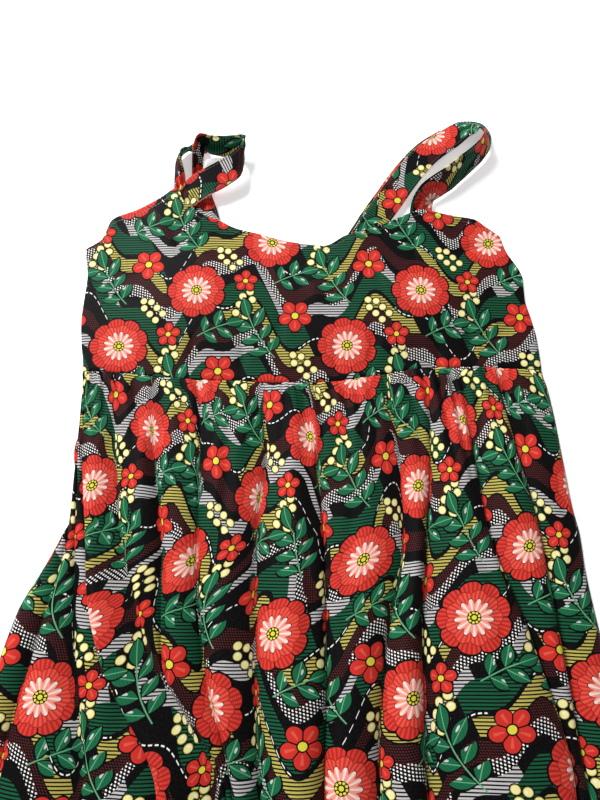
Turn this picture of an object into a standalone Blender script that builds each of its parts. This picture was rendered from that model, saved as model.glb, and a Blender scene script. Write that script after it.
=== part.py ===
"""Sleeveless maxi dress with adjustable shoulder straps, laid flat on its back.

Frame: +X to the right of the laid dress, +Y from the hem towards the straps, +Z up.
The dress rests on the plane Z = 0. All lengths are in metres.
"""
import math
from collections import namedtuple

import bpy

COLLECTION = "maxi_dress"

# Driving sizes of the garment
SKIRT_LENGTH = 1.02
HEM_RISE_AT_SIDES = 0.008
WALL = 0.0012
SEAM_GAP = 0.0003
STRAP_WIDTH = 0.023
STRAP_WALL = 0.0012
BACK_TOP_DROP = 0.004

# Mid height of the front cloth where it lies straight on the back panel
FRONT_MID = WALL + SEAM_GAP + WALL / 2

# Grid sizes: cells across and along each panel
SKIRT_CELLS = (116, 17)
SKIRT_BACK_CELLS = (40, 22)
BODICE_CELLS = (48, 11)
BODICE_BACK_CELLS = (40, 8)
ROW_CROWDING = 1.8

# Gathers sewn into the waist seam of the skirt front
GATHER_COUNT = 26
GATHER_HEIGHT = 0.0026
GATHER_FADE_SHORT = 0.030
GATHER_FADE_LONG = 0.085

# Shape of the large folds: height against width, roundness of the crest, and
# the height from which a fold leans fully
STEEPEST_FOLD = 0.30
FOLD_ROUNDNESS = 1.3
FULL_LEAN_HEIGHT = 0.0070

Level = namedtuple("Level", "along value")
Place = namedtuple("Place", "x y")
Side = namedtuple("Side", "below left right")
Fold = namedtuple("Fold", "at_seam at_60 at_120 at_200 at_280 at_600 at_hem")
Ridge = namedtuple("Ridge", "at_seam at_60 at_120 at_200 at_280 at_600 at_hem lean")
Band = namedtuple("Band", "x y z heading rise flat")
Mound = namedtuple("Mound", "x y reach height")

# The waist seam, from the left side seam to the right one
WAIST = (
    Place(-0.1745, 0.0080),
    Place(-0.0933, 0.0014),
    Place(-0.0561, -0.0002),
    Place(-0.0150, -0.0018),
    Place(0.0174, -0.0010),
    Place(0.0516, 0.0039),
    Place(0.0939, 0.0105),
    Place(0.1353, 0.0113),
    Place(0.1836, 0.0090),
)

# The top edge of the bodice front, from the left underarm to the right one
TOP_EDGE = (
    Place(-0.1829, 0.1164),
    Place(-0.1705, 0.1255),
    Place(-0.1637, 0.1440),
    Place(-0.1425, 0.1535),
    Place(-0.1218, 0.1635),
    Place(-0.1095, 0.1721),
    Place(-0.1030, 0.1580),
    Place(-0.0847, 0.1450),
    Place(-0.0706, 0.1400),
    Place(-0.0600, 0.1350),
    Place(-0.0370, 0.1290),
    Place(-0.0134, 0.1222),
    Place(0.0160, 0.1182),
    Place(0.0328, 0.1265),
    Place(0.0540, 0.1327),
    Place(0.0720, 0.1410),
    Place(0.0890, 0.1488),
    Place(0.0979, 0.1516),
    Place(0.1150, 0.1486),
    Place(0.1420, 0.1444),
    Place(0.1515, 0.1370),
    Place(0.1630, 0.1275),
)

# The sides of the bodice, as X against height above the waist seam
BODICE_LEFT = (
    Level(0.008, -0.1745),
    Level(0.035, -0.1785),
    Level(0.055, -0.1803),
    Level(0.088, -0.1792),
    Level(0.1164, -0.1829),
)
BODICE_RIGHT = (
    Level(0.009, 0.1836),
    Level(0.035, 0.1828),
    Level(0.055, 0.1798),
    Level(0.070, 0.1771),
    Level(0.088, 0.1774),
    Level(0.1164, 0.1654),
    Level(0.1275, 0.1630),
)

# The sides of the skirt, against the distance below the waist seam
SKIRT_SIDES = (
    Side(0.000, -0.1745, 0.1836),
    Side(0.015, -0.1717, 0.1863),
    Side(0.038, -0.1699, 0.1888),
    Side(0.062, -0.1742, 0.1904),
    Side(0.084, -0.1710, 0.1920),
    Side(0.106, -0.1693, 0.1935),
    Side(0.127, -0.1770, 0.1964),
    Side(0.148, -0.1866, 0.1968),
    Side(0.174, -0.2000, 0.1990),
    Side(0.200, -0.2073, 0.2021),
    Side(0.280, -0.2240, 0.2120),
    Side(0.600, -0.2680, 0.2560),
    Side(0.820, -0.2920, 0.2840),
    Side(1.020, -0.3080, 0.3080),
)

# How far below the waist seam the columns of the fold tables lie
FOLD_LEVELS = (0.0, 0.060, 0.120, 0.200, 0.280, 0.600, 1.020)

# Valleys between the skirt's large folds, as X at each level
VALLEYS = (
    Fold(-0.1735, -0.1725, -0.1720, -0.1860, -0.2000, -0.2300, -0.2560),
    Fold(-0.1725, -0.1710, -0.1670, -0.1580, -0.1450, -0.1500, -0.1720),
    Fold(-0.1710, -0.1680, -0.1570, -0.1350, -0.0910, -0.0780, -0.1080),
    Fold(-0.1500, -0.1430, -0.1340, -0.1040, -0.0560, -0.0360, -0.0560),
    Fold(-0.1190, -0.1140, -0.1040, -0.0990, -0.0520, -0.0320, -0.0510),
    Fold(-0.0840, -0.0790, -0.0780, -0.0700, -0.0480, -0.0280, -0.0450),
    Fold(-0.0340, -0.0300, -0.0360, -0.0340, -0.0300, -0.0060, 0.0000),
    Fold(0.0035, 0.0070, 0.0120, 0.0130, 0.0100, 0.0300, 0.0450),
    Fold(0.0640, 0.0690, 0.0700, 0.0530, 0.0460, 0.0660, 0.0900),
    Fold(0.0950, 0.0930, 0.0860, 0.0780, 0.0760, 0.1080, 0.1350),
    Fold(0.1120, 0.1235, 0.1275, 0.1500, 0.1660, 0.1620, 0.1850),
    Fold(0.1480, 0.1560, 0.1660, 0.1720, 0.1780, 0.2080, 0.2450),
)

# Heights of the folds between those valleys, from the left side seam on.
# A lean moves a crest to the left by so many times its height.
RIDGES = (
    Ridge(0.0004, 0.0006, 0.0008, 0.0030, 0.0040, 0.0080, 0.0100, 0.2),
    Ridge(0.0004, 0.0006, 0.0012, 0.0040, 0.0050, 0.0080, 0.0110, 0.6),
    Ridge(0.0004, 0.0008, 0.0018, 0.0036, 0.0050, 0.0080, 0.0110, 0.2),
    Ridge(0.0010, 0.0028, 0.0046, 0.0084, 0.0090, 0.0096, 0.0120, 1.6),
    Ridge(0.0010, 0.0030, 0.0040, 0.0020, 0.0012, 0.0010, 0.0012, 0.0),
    Ridge(0.0012, 0.0036, 0.0046, 0.0062, 0.0014, 0.0012, 0.0016, 0.3),
    Ridge(0.0012, 0.0040, 0.0054, 0.0066, 0.0060, 0.0060, 0.0110, 0.5),
    Ridge(0.0010, 0.0034, 0.0056, 0.0072, 0.0080, 0.0100, 0.0120, -0.3),
    Ridge(0.0012, 0.0036, 0.0050, 0.0060, 0.0070, 0.0090, 0.0110, 0.2),
    Ridge(0.0010, 0.0026, 0.0040, 0.0052, 0.0064, 0.0090, 0.0110, -0.3),
    Ridge(0.0010, 0.0030, 0.0052, 0.0080, 0.0094, 0.0110, 0.0130, -1.1),
    Ridge(0.0014, 0.0044, 0.0058, 0.0054, 0.0040, 0.0090, 0.0110, -0.5),
    Ridge(0.0006, 0.0020, 0.0026, 0.0030, 0.0040, 0.0080, 0.0100, -0.3),
)

# Fullness of the bodice over the bust, and the cloth lifted by the strap ends
FULLNESS = (
    Mound(-0.085, 0.075, 0.052, 0.0062),
    Mound(0.085, 0.072, 0.052, 0.0062),
    Mound(0.000, 0.070, 0.050, 0.0022),
)
STRAP_LIFT = (
    Mound(-0.107, 0.161, 0.027, 0.0066),
    Mound(-0.080, 0.142, 0.018, 0.0020),
    Mound(0.049, 0.127, 0.028, 0.0040),
    Mound(0.098, 0.150, 0.024, 0.0034),
)

# Bust darts, from the side seam towards the bust
Dart = namedtuple("Dart", "from_x from_y to_x to_y depth half_width")
DARTS = (
    Dart(0.1790, 0.0840, 0.1400, 0.1000, 0.0010, 0.0050),
    Dart(-0.1800, 0.0840, -0.1420, 0.1000, 0.0010, 0.0050),
)

# Straps as bands: centre, heading of the width in the plane, its rise out of
# the plane (both in degrees) and the share of the width that is not crushed.
# The heading points into the strap's loop.
LEFT_STRAP = (
    Band(-0.1100, 0.1535, 0.0038, 121, 0, 0.80),
    Band(-0.1040, 0.1585, 0.0044, 121, 2, 0.86),
    Band(-0.0985, 0.1650, 0.0070, 121, 5, 0.94),
    Band(-0.0907, 0.1714, 0.0098, 121, 8, 1.00),
    Band(-0.0759, 0.1787, 0.0125, 120, 10, 1.00),
    Band(-0.0664, 0.1850, 0.0132, 117, 8, 1.00),
    Band(-0.0594, 0.1910, 0.0128, 107, 8, 1.00),
    Band(-0.0546, 0.1996, 0.0120, 93, 19, 1.00),
    Band(-0.0530, 0.2082, 0.0106, 83, 36, 0.96),
    Band(-0.0585, 0.2122, 0.0094, 79, 52, 0.86),
    Band(-0.0705, 0.2126, 0.0088, 79, 58, 0.78),
    Band(-0.0810, 0.2134, 0.0094, 83, 60, 0.72),
    Band(-0.0886, 0.2138, 0.0128, 120, 56, 0.68),
    Band(-0.0926, 0.2055, 0.0104, 168, 56, 0.60),
    Band(-0.0935, 0.1945, 0.0079, 177, 52, 0.55),
    Band(-0.0925, 0.1858, 0.0051, 183, 26, 0.52),
    Band(-0.0903, 0.1749, 0.0032, 190, 6, 0.62),
    Band(-0.0880, 0.1632, 0.0023, 197, 0, 0.74),
    Band(-0.0848, 0.1526, 0.0022, 198, 0, 0.80),
    Band(-0.0812, 0.1400, 0.0022, 198, 0, 0.80),
    Band(-0.0790, 0.1330, 0.0022, 198, 0, 0.80),
)
LEFT_STRAP_TAIL = (
    Band(-0.1130, 0.1480, 0.0022, 5, 0, 0.44),
    Band(-0.1120, 0.1600, 0.0022, 2, 0, 0.44),
    Band(-0.1095, 0.1700, 0.0022, -4, 0, 0.44),
    Band(-0.1086, 0.1780, 0.0036, -2, 12, 0.46),
    Band(-0.1088, 0.1860, 0.0074, 2, 50, 0.64),
    Band(-0.1095, 0.1945, 0.0094, 0, 67, 0.76),
    Band(-0.1088, 0.2025, 0.0094, -22, 66, 0.76),
    Band(-0.1043, 0.2085, 0.0090, -52, 58, 0.74),
    Band(-0.0981, 0.2125, 0.0062, -72, 30, 0.66),
    Band(-0.0927, 0.2155, 0.0038, -80, 6, 0.56),
    Band(-0.0868, 0.2165, 0.0034, -84, 0, 0.52),
)
RIGHT_STRAP = (
    Band(0.0962, 0.1300, 0.0022, 180, 0, 0.80),
    Band(0.0969, 0.1400, 0.0022, 180, 0, 0.80),
    Band(0.0974, 0.1510, 0.0022, 180, 0, 0.80),
    Band(0.0990, 0.1580, 0.0052, 172, 14, 0.80),
    Band(0.1045, 0.1640, 0.0086, 152, 44, 0.86),
    Band(0.1130, 0.1710, 0.0104, 138, 56, 0.94),
    Band(0.1222, 0.1790, 0.0110, 132, 60, 0.97),
    Band(0.1318, 0.1880, 0.0112, 132, 61, 0.97),
    Band(0.1420, 0.1975, 0.0115, 134, 64, 0.96),
    Band(0.1515, 0.2082, 0.0115, 143, 65, 0.95),
    Band(0.1572, 0.2190, 0.0110, 164, 62, 0.93),
    Band(0.1578, 0.2270, 0.0094, 204, 52, 0.92),
    Band(0.1528, 0.2350, 0.0080, 250, 36, 0.95),
    Band(0.1415, 0.2336, 0.0072, 284, 20, 0.99),
    Band(0.1262, 0.2235, 0.0062, 302, 9, 1.00),
    Band(0.1093, 0.2112, 0.0056, 311, 4, 1.00),
    Band(0.0987, 0.2005, 0.0054, 320, 3, 1.00),
    Band(0.0839, 0.1810, 0.0050, 326, 2, 1.00),
    Band(0.0711, 0.1618, 0.0044, 328, 0, 1.00),
    Band(0.0582, 0.1427, 0.0040, 328, 0, 0.98),
    Band(0.0519, 0.1331, 0.0039, 328, 0, 0.92),
    Band(0.0455, 0.1225, 0.0039, 328, 0, 0.90),
)
TAIL_SIDE_STEP = 0.0022
TAIL_FIRST_BAND = 14
TAIL_DROP = STRAP_WALL + SEAM_GAP + 0.0001
CELLS_PER_BAND = 3

# Finish of the cloth
CLOTH_ROUGHNESS = 0.62
GROUND_COLOUR = (0.020, 0.017, 0.019, 1.0)
BODICE_COLOUR = (0.210, 0.040, 0.028, 1.0)
SKIRT_COLOUR = (0.090, 0.050, 0.034, 1.0)
STRAP_COLOUR = (0.030, 0.120, 0.060, 1.0)


def blend(low, high, share):
    """Straight mix of two numbers."""
    return low + (high - low) * share


def ease(share):
    """Smooth step from 0 to 1."""
    share = min(max(share, 0.0), 1.0)
    return share * share * (3.0 - 2.0 * share)


def curve_value(keys, values, at):
    """Value at one place of a smooth curve through rising keys, with no overshoot."""
    last = len(keys) - 1
    at = min(max(at, keys[0]), keys[last])
    span = 0
    while span < last - 1 and at > keys[span + 1]:
        span += 1

    def slope(i):
        if i in (0, last):
            return 0.0
        before = (values[i] - values[i - 1]) / (keys[i] - keys[i - 1])
        after = (values[i + 1] - values[i]) / (keys[i + 1] - keys[i])
        if before * after <= 0.0:
            return 0.0
        return 2.0 * before * after / (before + after)

    width = keys[span + 1] - keys[span]
    u = (at - keys[span]) / width
    rise = values[span + 1] - values[span]
    first = slope(span) * width
    second = slope(span + 1) * width
    bend = -2.0 * rise + first + second
    lift = 3.0 * rise - 2.0 * first - second
    return ((bend * u + lift) * u + first) * u + values[span]


def along_path(places, share):
    """Place at a share of the way along an open line of points."""
    steps = [0.0]
    for one, two in zip(places, places[1:]):
        steps.append(steps[-1] + math.hypot(two.x - one.x, two.y - one.y))
    at = share * steps[-1]
    x = curve_value(steps, [p.x for p in places], at)
    y = curve_value(steps, [p.y for p in places], at)
    return x, y


def waist_y(x):
    """Height of the waist seam at one X."""
    return curve_value([p.x for p in WAIST], [p.y for p in WAIST], x)


def mound_height(mounds, x, y):
    """Sum of round soft mounds at one place."""
    total = 0.0
    for mound in mounds:
        far = math.hypot(x - mound.x, y - mound.y) / mound.reach
        total += mound.height * math.exp(-far * far)
    return total


def dart_depth(x, y):
    """Depth of the groove along the bust darts at one place."""
    total = 0.0
    for dart in DARTS:
        run_x = dart.to_x - dart.from_x
        run_y = dart.to_y - dart.from_y
        length = math.hypot(run_x, run_y)
        share = ((x - dart.from_x) * run_x + (y - dart.from_y) * run_y) / length ** 2
        off = abs((x - dart.from_x) * run_y - (y - dart.from_y) * run_x) / length
        inside = ease(1.0 - off / dart.half_width)
        total += dart.depth * inside * ease((1.0 - share) * 3.0) * ease(share * 6.0 + 0.4)
    return total


def bodice_outline(across, up, top_drop):
    """Place in the plane on a bodice panel, fitted to its four edges."""
    left_x, right_x = WAIST[0].x, WAIST[-1].x
    bottom_x = blend(left_x, right_x, across)
    bottom = (bottom_x, waist_y(bottom_x) + SEAM_GAP / 2)
    top_x, top_y = along_path(TOP_EDGE, across)
    top = (top_x, top_y - top_drop)
    edges = []
    for corner, levels in ((0, BODICE_LEFT), (-1, BODICE_RIGHT)):
        low_y = WAIST[corner].y + SEAM_GAP / 2
        high_y = TOP_EDGE[corner].y - top_drop
        y = blend(low_y, high_y, up)
        x = curve_value([l.along for l in levels], [l.value for l in levels], y)
        straight_x = blend(WAIST[corner].x, TOP_EDGE[corner].x, up)
        edges.append((x - straight_x, 0.0))
    x = blend(bottom[0], top[0], up) + blend(edges[0][0], edges[1][0], across)
    y = blend(bottom[1], top[1], up)
    return x, y


def bodice_front_point(across, up):
    """Mid surface of the bodice front."""
    x, y = bodice_outline(across, up, 0.0)
    from_side = 1.0 - abs(2.0 * across - 1.0) ** 8
    height = mound_height(FULLNESS, x, y) * from_side * ease(up * 5.0)
    height += mound_height(STRAP_LIFT, x, y) * from_side
    height -= dart_depth(x, y) * ease(height / 0.002)
    return x, y, FRONT_MID + max(height, 0.0)


def bodice_back_point(across, up):
    """Underside of the bodice back, flat on the surface."""
    x, y = bodice_outline(across, up, BACK_TOP_DROP)
    return x, y, 0.0


def skirt_sides(below):
    """Left and right X of the skirt at a distance below the waist seam."""
    keys = [side.below for side in SKIRT_SIDES]
    left = curve_value(keys, [side.left for side in SKIRT_SIDES], below)
    right = curve_value(keys, [side.right for side in SKIRT_SIDES], below)
    return left, right


def skirt_y(across, below):
    """Y of the skirt between the waist seam and the curved hem."""
    top = waist_y(blend(WAIST[0].x, WAIST[-1].x, across)) - SEAM_GAP / 2
    hem = HEM_RISE_AT_SIDES * (2.0 * across - 1.0) ** 2 - SKIRT_LENGTH
    return blend(top, hem, below / SKIRT_LENGTH)


def gather_height(across, below):
    """Height of the small gathers held by the waist seam."""
    phase = GATHER_COUNT * across + 0.9 * math.sin(9.0 * across) + 0.5 * math.sin(23.0 * across)
    wave = 0.5 - 0.5 * math.cos(2.0 * math.pi * phase)
    spread = 0.5 + 0.5 * math.sin(41.0 * across + 1.3)
    fade = blend(GATHER_FADE_SHORT, GATHER_FADE_LONG, spread)
    size = 0.75 + 0.25 * math.sin(17.0 * across)
    near_side = 1.0 - abs(2.0 * across - 1.0) ** 12
    grow = blend(0.55, 1.0, ease(below / 0.012))
    return GATHER_HEIGHT * size * wave * near_side * grow * math.exp(-(below / fade) ** 2)


def skirt_front_point(across, down):
    """Mid surface of the skirt front, with its folds and gathers."""
    below = SKIRT_LENGTH * down ** ROW_CROWDING
    left, right = skirt_sides(below)
    x = blend(left, right, across)
    valleys = [left] + [curve_value(FOLD_LEVELS, fold, below) for fold in VALLEYS] + [right]
    place = 0
    while place < len(RIDGES) - 1 and x > valleys[place + 1]:
        place += 1
    width = valleys[place + 1] - valleys[place]
    share = min(max((x - valleys[place]) / width, 0.0), 1.0)
    ridge = RIDGES[place]
    crest = min(curve_value(FOLD_LEVELS, ridge[:-1], below), STEEPEST_FOLD * width)
    fold = crest * math.sin(math.pi * share) ** FOLD_ROUNDNESS
    lean = ridge.lean * ease(crest / FULL_LEAN_HEIGHT)
    height = fold + gather_height(across, below)
    return x - lean * fold, skirt_y(across, below), FRONT_MID + height


def skirt_back_point(across, down):
    """Underside of the skirt back, flat on the surface."""
    below = SKIRT_LENGTH * down ** ROW_CROWDING
    left, right = skirt_sides(below)
    return blend(left, right, across), skirt_y(across, below), 0.0


def grid_mesh(name, cells, point):
    """Open sheet of four-sided faces, with point(across, along) for each corner."""
    columns, rows = cells
    points = []
    for row in range(rows + 1):
        for column in range(columns + 1):
            points.append(point(column / columns, row / rows))
    faces = []
    for row in range(rows):
        for column in range(columns):
            first = row * (columns + 1) + column
            faces.append((first, first + 1, first + columns + 2, first + columns + 1))
    mesh = bpy.data.meshes.new(name)
    mesh.from_pydata(points, [], faces)
    mesh.update()
    return mesh


def face_up(mesh):
    """Turn a sheet over if most of it faces down."""
    total = sum(face.normal.z * face.area for face in mesh.polygons)
    if total < 0.0:
        mesh.flip_normals()


def make_wall(name, mesh, thickness, side, material):
    """Put a sheet in the collection as a wall of even thickness."""
    thing = bpy.data.objects.new(name, mesh)
    bpy.data.collections[COLLECTION].objects.link(thing)
    thing.data.materials.append(material)
    mesh.shade_smooth()
    wall = thing.modifiers.new("wall", "SOLIDIFY")
    wall.thickness = thickness
    wall.offset = side
    return thing


def band_point(bands, at):
    """Centre, half width vector of a strap at a place counted in bands."""
    keys = list(range(len(bands)))
    x, y, z, heading, rise, flat = (
        curve_value(keys, [band[i] for band in bands], at) for i in range(len(Band._fields))
    )
    reach = STRAP_WIDTH / 2 * flat
    level = math.cos(math.radians(rise)) * reach
    half = (
        level * math.cos(math.radians(heading)),
        level * math.sin(math.radians(heading)),
        math.sin(math.radians(rise)) * reach,
    )
    return (x, y, z), half


def strap_mesh(name, bands):
    """Flat strap that follows its bands."""
    spans = (len(bands) - 1) * CELLS_PER_BAND

    def point(across, along):
        centre, half = band_point(bands, along * (len(bands) - 1))
        return tuple(c + h * (2.0 * across - 1.0) for c, h in zip(centre, half))

    return grid_mesh(name, (1, spans), point)


def right_tail_bands():
    """The doubled run under the front of the right strap, a step to its side."""
    bands = []
    for band in RIGHT_STRAP[TAIL_FIRST_BAND:]:
        turn = math.radians(band.heading)
        bands.append(band._replace(
            x=band.x - TAIL_SIDE_STEP * math.cos(turn),
            y=band.y - TAIL_SIDE_STEP * math.sin(turn),
            z=band.z - TAIL_DROP - TAIL_SIDE_STEP * math.tan(math.radians(band.rise)),
        ))
    return bands


def cloth_material(name, colour):
    """Plain cloth finish."""
    material = bpy.data.materials.new(name)
    material.use_nodes = True
    shader = material.node_tree.nodes["Principled BSDF"]
    shader.inputs["Base Color"].default_value = colour
    shader.inputs["Roughness"].default_value = CLOTH_ROUGHNESS
    shader.inputs["Metallic"].default_value = 0.0
    return material


def build_bodice():
    """Front and back of the bodice."""
    front = grid_mesh("bodice_front", BODICE_CELLS, bodice_front_point)
    face_up(front)
    make_wall("bodice_front", front, WALL, 0.0, cloth_material("bodice_front_cloth", BODICE_COLOUR))
    back = grid_mesh("bodice_back", BODICE_BACK_CELLS, bodice_back_point)
    face_up(back)
    make_wall("bodice_back", back, WALL, 1.0, cloth_material("bodice_back_cloth", GROUND_COLOUR))


def build_skirt():
    """Front and back of the skirt."""
    front = grid_mesh("skirt_front", SKIRT_CELLS, skirt_front_point)
    face_up(front)
    make_wall("skirt_front", front, WALL, 0.0, cloth_material("skirt_front_cloth", SKIRT_COLOUR))
    back = grid_mesh("skirt_back", SKIRT_BACK_CELLS, skirt_back_point)
    face_up(back)
    make_wall("skirt_back", back, WALL, 1.0, cloth_material("skirt_back_cloth", GROUND_COLOUR))


def build_straps():
    """Both straps and the doubled runs below their adjusters."""
    runs = (
        ("strap_left", LEFT_STRAP),
        ("strap_left_tail", LEFT_STRAP_TAIL),
        ("strap_right", RIGHT_STRAP),
        ("strap_right_tail", right_tail_bands()),
    )
    for name, bands in runs:
        mesh = strap_mesh(name, bands)
        make_wall(name, mesh, STRAP_WALL, 0.0, cloth_material(name + "_cloth", STRAP_COLOUR))


def centre_on_origin():
    """Move all pieces so that the origin is under the middle of the dress."""
    things = bpy.data.collections[COLLECTION].objects
    bpy.context.view_layer.update()
    low_x = low_y = math.inf
    high_x = high_y = -math.inf
    graph = bpy.context.evaluated_depsgraph_get()
    for thing in things:
        for vertex in thing.evaluated_get(graph).data.vertices:
            low_x = min(low_x, vertex.co.x)
            high_x = max(high_x, vertex.co.x)
            low_y = min(low_y, vertex.co.y)
            high_y = max(high_y, vertex.co.y)
    for thing in things:
        thing.location = (-(low_x + high_x) / 2, -(low_y + high_y) / 2, 0.0)


def main():
    for thing in list(bpy.data.objects):
        bpy.data.objects.remove(thing, do_unlink=True)
    collection = bpy.data.collections.new(COLLECTION)
    bpy.context.scene.collection.children.link(collection)
    build_bodice()
    build_skirt()
    build_straps()
    centre_on_origin()


main()
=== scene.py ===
import math
from collections import namedtuple
from functools import partialmethod

import bpy
import numpy as np
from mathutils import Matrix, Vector


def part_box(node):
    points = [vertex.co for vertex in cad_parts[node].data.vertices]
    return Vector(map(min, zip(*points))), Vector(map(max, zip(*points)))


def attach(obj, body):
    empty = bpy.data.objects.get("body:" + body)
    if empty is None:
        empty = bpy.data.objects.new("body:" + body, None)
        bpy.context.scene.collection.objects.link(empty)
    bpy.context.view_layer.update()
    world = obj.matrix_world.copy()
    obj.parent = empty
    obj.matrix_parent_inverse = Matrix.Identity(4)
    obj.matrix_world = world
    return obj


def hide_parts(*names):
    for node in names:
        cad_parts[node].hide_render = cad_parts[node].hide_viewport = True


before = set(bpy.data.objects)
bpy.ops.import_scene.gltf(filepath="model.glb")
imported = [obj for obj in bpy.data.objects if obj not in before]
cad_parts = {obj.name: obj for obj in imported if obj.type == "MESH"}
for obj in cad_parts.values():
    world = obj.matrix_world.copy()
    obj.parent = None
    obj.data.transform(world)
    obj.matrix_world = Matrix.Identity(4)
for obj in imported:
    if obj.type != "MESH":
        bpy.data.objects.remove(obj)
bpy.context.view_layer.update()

# Sizes of the garment, in metres
SKIRT_LENGTH = 1.02
HEM_RISE_AT_SIDES = 0.008
SEAM_GAP = 0.0003
STRAP_WIDTH = 0.023
BACK_TOP_DROP = 0.004
FRONT_MID = 0.0021
CLOTH = 0.0005
BACK_MID = 0.0004
BACK_GATHER_HEIGHT = 0.0004
LOWEST_FRONT = 0.0013

# Cloth that turns down at its edges: how far, and over what share or length
EDGE_SINK = 0.0009
BODICE_EDGE = 0.012
BODICE_SEAM_EDGE = 0.02
NECK_EDGE = 0.015
NECK_SINK_SHARE = 0.4
SKIRT_EDGE = 0.01
SKIRT_SEAM_ROLL = 0.003
HEM_STEP_RUN = 0.002

# Cells across and along each cloth
SKIRT_ROWS = 146
SKIRT_BACK_CELLS = (150, 160)
BODICE_CELLS = (230, 92)
BODICE_BACK_CELLS = (150, 50)
STRAP_CELLS_PER_BAND = 7
STRAP_CELLS_ACROSS = 12
STRAP_CELLS_ON_EDGE = 6
NECK_STITCH_COLUMNS = 240
ROW_CROWDING = 1.5

# Cut of the skirt: its flat width at the gathered waist and at the hem
CUT_AT_WAIST = 0.56
CUT_AT_HEM = 0.74

# Gathers and puckers held by the waist seam. A shift makes the waves uneven: its size
# in waves, and its rate across the cloth.
GATHER_SHIFTS = ((0.9, 9.0), (0.5, 23.0))
PUCKER_SHIFTS = ((1.4, 13.0), (0.8, 37.0))
GATHER_COUNT = 26
GATHER_HEIGHT = 0.0031
GATHER_FADE_SHORT = 0.03
GATHER_FADE_LONG = 0.085
PUCKER_COUNT = 71
PUCKER_HEIGHT = 0.0009
PUCKER_FADE = 0.011

# Shape of the large folds and creases. The thin cloth swells past the tables by these shares.
STEEPEST_FOLD = 0.3
FOLD_SWELL = 1.5
LEAN_SWELL = 1.25
BODICE_CREASE_SWELL = 1.7
BACK_RIDGE_SHARE = 0.6
FULL_LEAN_HEIGHT = 0.007
FOLD_COLUMNS = (10, 14, 18, 30, 14, 16, 26, 32, 34, 26, 34, 34, 28)
CROWDED_SHARE = 0.5
TUCK_REACH = 0.05
TUCK_CLOTH = 2.6

Level = namedtuple("Level", "along value")
Place = namedtuple("Place", "x y")
Side = namedtuple("Side", "below left right")
Fold = namedtuple("Fold", "at_seam at_60 at_120 at_200 at_280 at_600 at_hem")
Ridge = namedtuple("Ridge", Fold._fields + ("lean", "left_round", "right_round"))
Band = namedtuple("Band", "x y z heading rise flat")
Mound = namedtuple("Mound", "x y reach height")
Dart = namedtuple("Dart", "from_x from_y to_x to_y depth half_width")
Crease = namedtuple("Crease", "from_x from_y to_x to_y bend depth width")


def table(kind, *lines):
    """Rows whose columns have the names of a kind."""
    return [kind(*line) for line in lines]


# The waist seam, from the left side seam to the right one
WAIST = table(
    Place,
    (-0.1745, 0.008),
    (-0.0933, 0.0014),
    (-0.0561, -0.0002),
    (-0.015, -0.0018),
    (0.0174, -0.001),
    (0.0516, 0.0039),
    (0.0939, 0.0105),
    (0.1353, 0.0113),
    (0.1836, 0.009),
)

# The top edge of the bodice front, from the left underarm to the right one
TOP_EDGE = table(
    Place,
    (-0.1829, 0.1164),
    (-0.1705, 0.1255),
    (-0.1637, 0.144),
    (-0.1425, 0.1535),
    (-0.1218, 0.1635),
    (-0.1095, 0.1721),
    (-0.103, 0.158),
    (-0.0847, 0.145),
    (-0.0706, 0.14),
    (-0.06, 0.135),
    (-0.037, 0.129),
    (-0.0134, 0.1222),
    (0.016, 0.1182),
    (0.0328, 0.1265),
    (0.054, 0.1327),
    (0.072, 0.141),
    (0.089, 0.1488),
    (0.0979, 0.1516),
    (0.115, 0.1486),
    (0.142, 0.1444),
    (0.1515, 0.137),
    (0.163, 0.1275),
)

# The sides of the bodice, as X against height above the waist seam
BODICE_LEFT = table(
    Level,
    (0.008, -0.1745),
    (0.035, -0.1785),
    (0.055, -0.1803),
    (0.088, -0.1792),
    (0.1164, -0.1829),
)
BODICE_RIGHT = table(
    Level,
    (0.009, 0.1836),
    (0.035, 0.1828),
    (0.055, 0.1798),
    (0.07, 0.1771),
    (0.088, 0.1774),
    (0.1164, 0.1654),
    (0.1275, 0.163),
)

# The sides of the skirt, against the distance below the waist seam
SKIRT_SIDES = table(
    Side,
    (0.0, -0.1745, 0.1836),
    (0.015, -0.1717, 0.1863),
    (0.038, -0.1699, 0.1888),
    (0.062, -0.1742, 0.1904),
    (0.084, -0.171, 0.192),
    (0.106, -0.1693, 0.1935),
    (0.127, -0.177, 0.1964),
    (0.148, -0.1866, 0.1968),
    (0.174, -0.2, 0.199),
    (0.2, -0.2073, 0.2021),
    (0.28, -0.224, 0.212),
    (0.6, -0.268, 0.256),
    (0.82, -0.292, 0.284),
    (1.02, -0.308, 0.308),
)

# How far below the waist seam the columns of the fold tables lie
FOLD_LEVELS = (0.0, 0.06, 0.12, 0.2, 0.28, 0.6, 1.02)

# Valleys between the skirt's large folds, as X at each level
VALLEYS = table(
    Fold,
    (-0.1735, -0.1725, -0.172, -0.186, -0.2, -0.23, -0.256),
    (-0.1725, -0.171, -0.167, -0.158, -0.145, -0.15, -0.172),
    (-0.171, -0.168, -0.157, -0.131, -0.086, -0.078, -0.108),
    (-0.15, -0.143, -0.134, -0.104, -0.056, -0.036, -0.056),
    (-0.119, -0.114, -0.104, -0.099, -0.052, -0.032, -0.051),
    (-0.084, -0.079, -0.078, -0.07, -0.048, -0.028, -0.045),
    (-0.034, -0.03, -0.036, -0.034, -0.03, -0.006, 0.0),
    (0.0035, 0.007, 0.012, 0.013, 0.01, 0.03, 0.045),
    (0.064, 0.069, 0.07, 0.053, 0.046, 0.066, 0.09),
    (0.095, 0.093, 0.086, 0.078, 0.076, 0.108, 0.135),
    (0.112, 0.1235, 0.1275, 0.15, 0.166, 0.162, 0.185),
    (0.148, 0.156, 0.166, 0.172, 0.178, 0.208, 0.245),
)

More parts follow.
